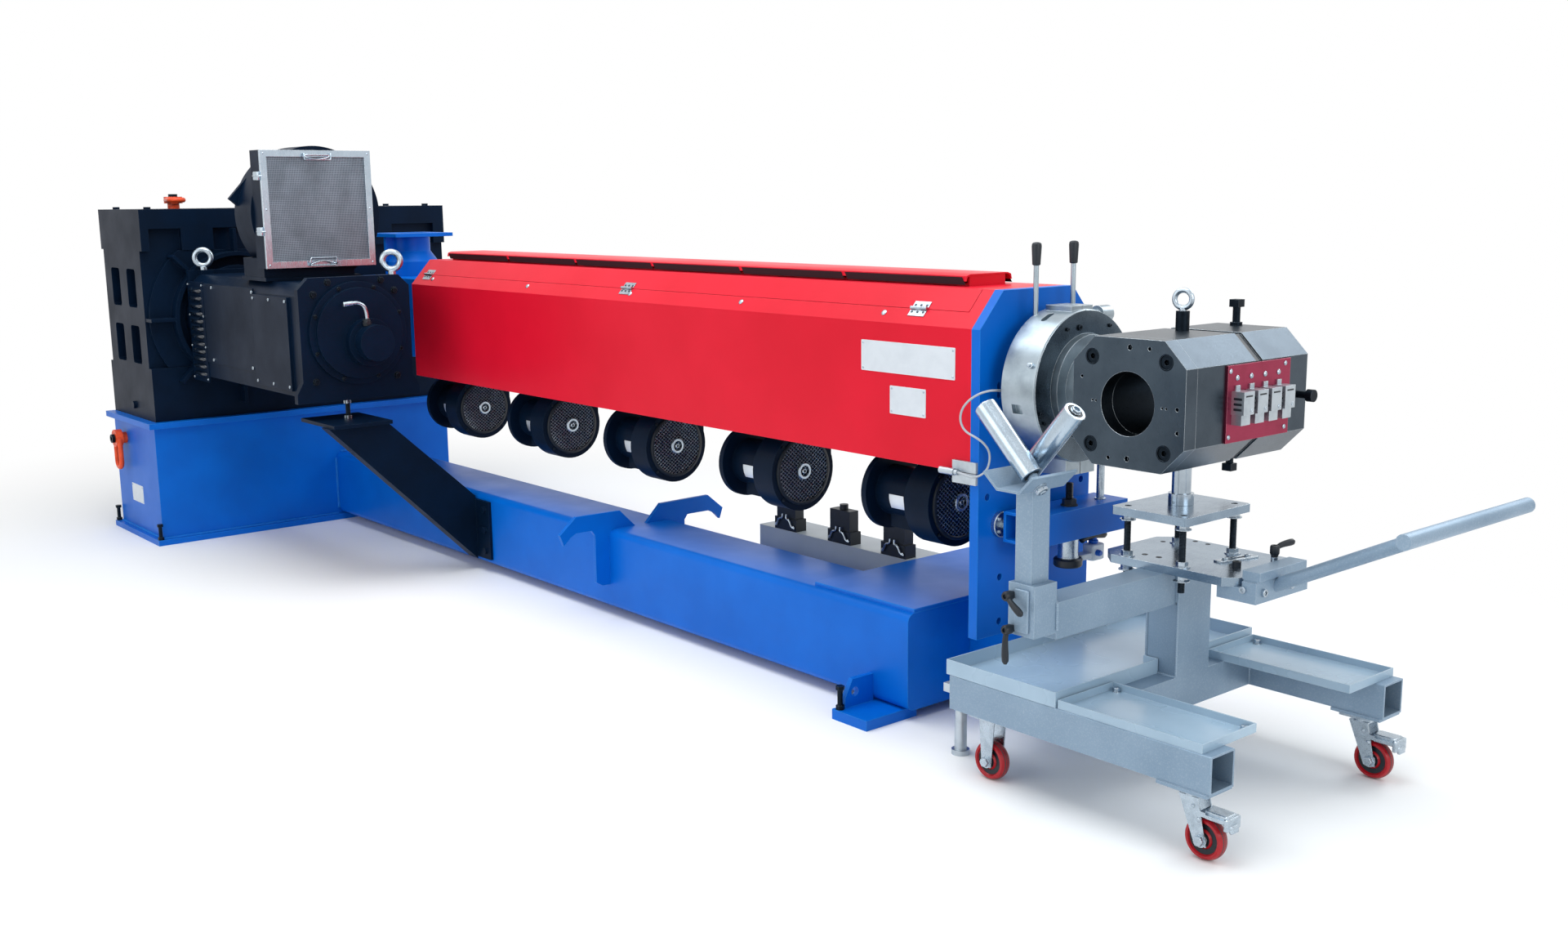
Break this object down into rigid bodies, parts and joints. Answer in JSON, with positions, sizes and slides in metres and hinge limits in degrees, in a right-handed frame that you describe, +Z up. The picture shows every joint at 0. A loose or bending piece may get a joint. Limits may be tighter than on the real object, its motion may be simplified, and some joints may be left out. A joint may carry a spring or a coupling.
{
  "type": "plastic extruder for cable sheathing with a crosshead on a trolley",
  "caption": "Single-screw plastic extruder: gearbox and motor on a pedestal, a long covered barrel with cooling blowers over a beam, and a crosshead on a wheeled support with guide rollers.",
  "frame": {"origin": "on the floor, below the barrel axis at the front face of the front plate", "axes": "+X along the barrel from the gearbox towards the crosshead, +Y away from the motor side, +Z up"},
  "size_m": [5.9509, 1.748, 1.728],
  "materials": {
    "blue_paint": "satin enamel",
    "red_paint": "gloss enamel",
    "black_paint": "semi-matt enamel",
    "grey_paint": "silver-grey paint",
    "black_steel": "blackened",
    "tool_steel": "ground",
    "bright_steel": "machined",
    "polished_steel": "polished",
    "zinc_steel": "zinc plated",
    "cast_alloy": "satin",
    "black_plastic": "matt",
    "orange_paint": "enamel",
    "tread": "polyurethane",
    "cable_jacket": "soft"
  },
  "bodies": {
    "machine": {"arm_fittings": "bright_steel", "barrel": "tool_steel", "barrel_cover": "red_paint", "barrel_jackets": "bright_steel", "beam_hooks": "blue_paint", "blower_guards": "zinc_steel", "box_connectors": "black_plastic", "clamp_levers": "black_plastic", "clamp_ring": "bright_steel", "column": "grey_paint", "connector_plate": "red_paint", "cooling_blowers": "black_paint", "cover_hinges": "zinc_steel", "crosshead": "tool_steel", "crosshead_bolts": "black_steel", "crosshead_end_cap": "tool_steel", "crosshead_neck": "bright_steel", "crosshead_pillar": "bright_steel", "drip_trays": "grey_paint", "fan_volute": "black_paint", "feed_body": "blue_paint", "feed_throat": "blue_paint", "filter_screen": "polished_steel", "fixed_casters": "zinc_steel", "front_base": "blue_paint", "front_plate": "blue_paint", "gearbox_housing": "black_paint", "gearbox_lantern": "black_paint", "gearbox_pedestal": "blue_paint", "heater_connectors": "cast_alloy", "jack_feet": "cast_alloy", "jack_plates": "bright_steel", "jack_screws": "black_steel", "junction_box": "grey_paint", "levelling_bolts": "black_steel", "lifting_eyes": "zinc_steel", "lifting_shackles": "orange_paint", "main_beam": "blue_paint", "motor_body": "black_paint", "motor_end_cover": "black_paint", "motor_strut": "black_paint", "plate_arm": "blue_paint", "pull_handle": "grey_paint", "sensor_bracket": "cast_alloy", "sensor_cable": "cable_jacket", "sensor_plug": "cast_alloy", "side_tubes": "grey_paint"},
    "lid": {"cover_lid": "red_paint", "lid_vent": "red_paint", "lid_hinges": "zinc_steel"},
    "roller_carrier": {"roller_post": "grey_paint"},
    "roller_near": {"guide_roller_near": "polished_steel"},
    "roller_far": {"guide_roller_far": "polished_steel"},
    "swivel_near": {"swivel_fork_near": "zinc_steel"},
    "swivel_far": {"swivel_fork_far": "zinc_steel"},
    "wheel_front_near": {"front_wheel_near": "tread"},
    "wheel_front_far": {"front_wheel_far": "tread"},
    "wheel_rear_near": {"rear_wheel_near": "tread"},
    "wheel_rear_far": {"rear_wheel_far": "tread"}
  },
  "joints": [
    {"name": "lid_hinge", "type": "hinge", "parent": "machine", "child": "lid", "pos_m": [-1.6525, -0.20172, 1.19935], "axis": [1, 0, 0], "range_deg": [0, 100]},
    {"name": "roller_post_slide", "type": "slide", "parent": "machine", "child": "roller_carrier", "axis": [0, 0, 1], "range_m": [-0.15, 0.06]},
    {"name": "roller_near_spin", "type": "hinge", "parent": "roller_carrier", "child": "roller_near", "pos_m": [0.48148, -0.557, 0.84749], "axis": [-0.7071, 0, 0.7071], "continuous": true},
    {"name": "roller_far_spin", "type": "hinge", "parent": "roller_carrier", "child": "roller_far", "pos_m": [0.39164, -0.497, 0.85409], "axis": [0.6561, 0, 0.7547], "continuous": true},
    {"name": "swivel_near_turn", "type": "hinge", "parent": "machine", "child": "swivel_near", "pos_m": [0.806, -0.372, 0.15], "axis": [0, 0, 1], "continuous": true},
    {"name": "wheel_front_near_spin", "type": "hinge", "parent": "swivel_near", "child": "wheel_front_near", "pos_m": [0.842, -0.372, 0.052], "axis": [0, 1, 0], "continuous": true},
    {"name": "wheel_rear_near_spin", "type": "hinge", "parent": "machine", "child": "wheel_rear_near", "pos_m": [0.187, -0.372, 0.052], "axis": [0, 1, 0], "continuous": true},
    {"name": "swivel_far_turn", "type": "hinge", "parent": "machine", "child": "swivel_far", "pos_m": [0.806, 0.372, 0.15], "axis": [0, 0, 1], "continuous": true},
    {"name": "wheel_front_far_spin", "type": "hinge", "parent": "swivel_far", "child": "wheel_front_far", "pos_m": [0.842, 0.372, 0.052], "axis": [0, 1, 0], "continuous": true},
    {"name": "wheel_rear_far_spin", "type": "hinge", "parent": "machine", "child": "wheel_rear_far", "pos_m": [0.187, 0.372, 0.052], "axis": [0, 1, 0], "continuous": true}
  ]
}
